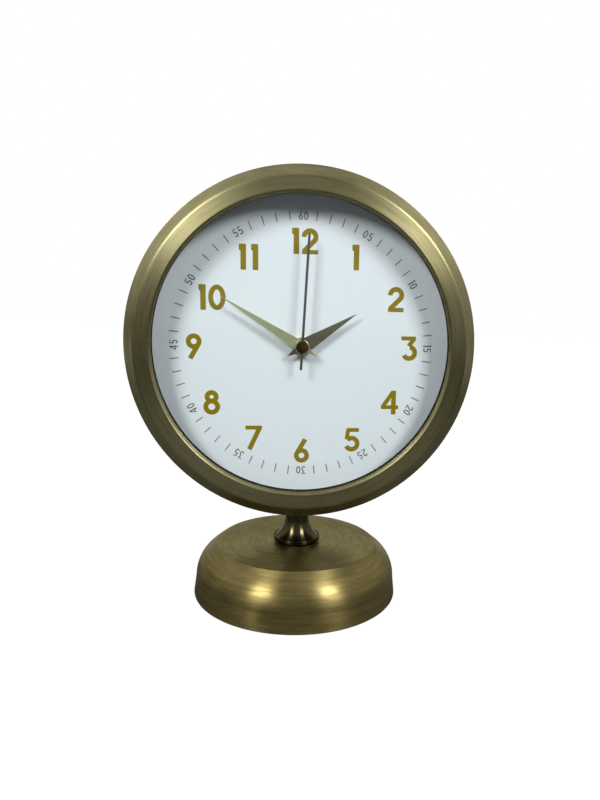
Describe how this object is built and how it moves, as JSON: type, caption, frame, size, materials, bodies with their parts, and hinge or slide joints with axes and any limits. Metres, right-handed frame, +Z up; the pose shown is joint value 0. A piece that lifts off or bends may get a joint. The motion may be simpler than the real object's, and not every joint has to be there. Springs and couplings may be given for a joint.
{
  "type": "table clock",
  "caption": "Round brass table clock with a white dial under flat glass, kite-shaped hands and a thin seconds hand, on a short flared neck and a round domed base.",
  "frame": {"origin": "centre of the base where it stands on the table", "axes": "+Z up, -Y out of the dial towards the viewer, +X to the right as seen from the front"},
  "size_m": [0.1524, 0.096, 0.1932],
  "materials": {
    "case_brass": "brushed antique brass, lacquered",
    "neck_bronze": "dark polished bronze tone",
    "clear_glass": "clear and flat",
    "dial_white": "satin white print",
    "spacer_dark": "dark satin",
    "hand_brass": "satin brass",
    "nut_brass": "turned brass",
    "second_slate": "dark satin paint",
    "movement_black": "moulded black plastic",
    "plate_plastic": "natural moulded plastic",
    "wheel_plastic": "natural moulded plastic",
    "pipe_brass": "turned brass",
    "magnet_steel": "dark sintered metal",
    "soft_iron": "stamped soft iron",
    "bobbin_plastic": "moulded plastic",
    "coil_copper": "enamelled copper wire",
    "board_green": "coated circuit board",
    "battery_jacket": "plain dark jacket",
    "contact_steel": "bright spring steel",
    "rod_steel": "zinc-plated steel",
    "weight_iron": "rough cast iron",
    "pad_felt": "dark felt"
  },
  "bodies": {
    "clock": {"back_cover": "movement_black", "base_pad": "pad_felt", "base_shell": "case_brass", "base_weight": "weight_iron", "battery": "battery_jacket", "bezel": "case_brass", "case_shell": "case_brass", "circuit_board": "board_green", "coil_bobbin": "bobbin_plastic", "coil_core": "soft_iron", "coil_winding": "coil_copper", "collar": "neck_bronze", "dial": "dial_white", "hub_nut": "nut_brass", "lens": "clear_glass", "middle_plate": "plate_plastic", "movement_front_case": "movement_black", "movement_rear_case": "movement_black", "neck": "neck_bronze", "negative_contact": "contact_steel", "positive_contact": "contact_steel", "rod_nuts": "rod_steel", "spacer_ring": "spacer_dark", "stand_rod": "rod_steel", "stator": "soft_iron"},
    "seconds": {"seconds_wheel": "wheel_plastic", "second_hand": "second_slate", "second_cap": "second_slate"},
    "rotor": {"rotor": "magnet_steel"},
    "intermediate": {"intermediate_wheel": "wheel_plastic"},
    "third": {"third_wheel": "wheel_plastic"},
    "centre": {"centre_wheel": "wheel_plastic"},
    "minute": {"minute_pipe": "pipe_brass", "minute_hand": "hand_brass", "minute_nut": "nut_brass"},
    "motion": {"motion_wheel": "wheel_plastic"},
    "hour": {"hour_wheel": "wheel_plastic", "hour_hand": "hand_brass"},
    "knob": {"setting_knob": "movement_black"}
  },
  "joints": [
    {"name": "seconds_spin", "type": "hinge", "parent": "clock", "child": "seconds", "pos_m": [0, 0, 0.117], "axis": [0, 1, 0], "continuous": true},
    {"name": "rotor_spin", "type": "hinge", "parent": "clock", "child": "rotor", "pos_m": [0.00506, 0, 0.13151], "axis": [0, 1, 0], "continuous": true},
    {"name": "intermediate_spin", "type": "hinge", "parent": "clock", "child": "intermediate", "pos_m": [0.00146, 0, 0.12527], "axis": [0, 1, 0], "continuous": true},
    {"name": "third_spin", "type": "hinge", "parent": "clock", "child": "third", "pos_m": [0.00924, 0, 0.117], "axis": [0, 1, 0], "continuous": true},
    {"name": "centre_spin", "type": "hinge", "parent": "clock", "child": "centre", "pos_m": [0, 0, 0.117], "axis": [0, 1, 0], "continuous": true},
    {"name": "minute_spin", "type": "hinge", "parent": "clock", "child": "minute", "pos_m": [0, 0, 0.117], "axis": [0, 1, 0], "continuous": true},
    {"name": "motion_spin", "type": "hinge", "parent": "clock", "child": "motion", "pos_m": [-0.0096, 0, 0.117], "axis": [0, 1, 0], "continuous": true},
    {"name": "hour_spin", "type": "hinge", "parent": "clock", "child": "hour", "pos_m": [0, 0, 0.117], "axis": [0, 1, 0], "continuous": true},
    {"name": "knob_spin", "type": "hinge", "parent": "clock", "child": "knob", "pos_m": [-0.0096, 0, 0.1266], "axis": [0, 1, 0], "continuous": true}
  ],
  "couplings": [
    {"joint": "rotor_spin", "follows": "seconds_spin", "ratio": 30},
    {"joint": "intermediate_spin", "follows": "seconds_spin", "ratio": -6},
    {"joint": "third_spin", "follows": "seconds_spin", "ratio": -0.16667},
    {"joint": "centre_spin", "follows": "seconds_spin", "ratio": 0.016667},
    {"joint": "motion_spin", "follows": "minute_spin", "ratio": -0.33333},
    {"joint": "hour_spin", "follows": "minute_spin", "ratio": 0.083333},
    {"joint": "knob_spin", "follows": "minute_spin", "ratio": 1}
  ]
}
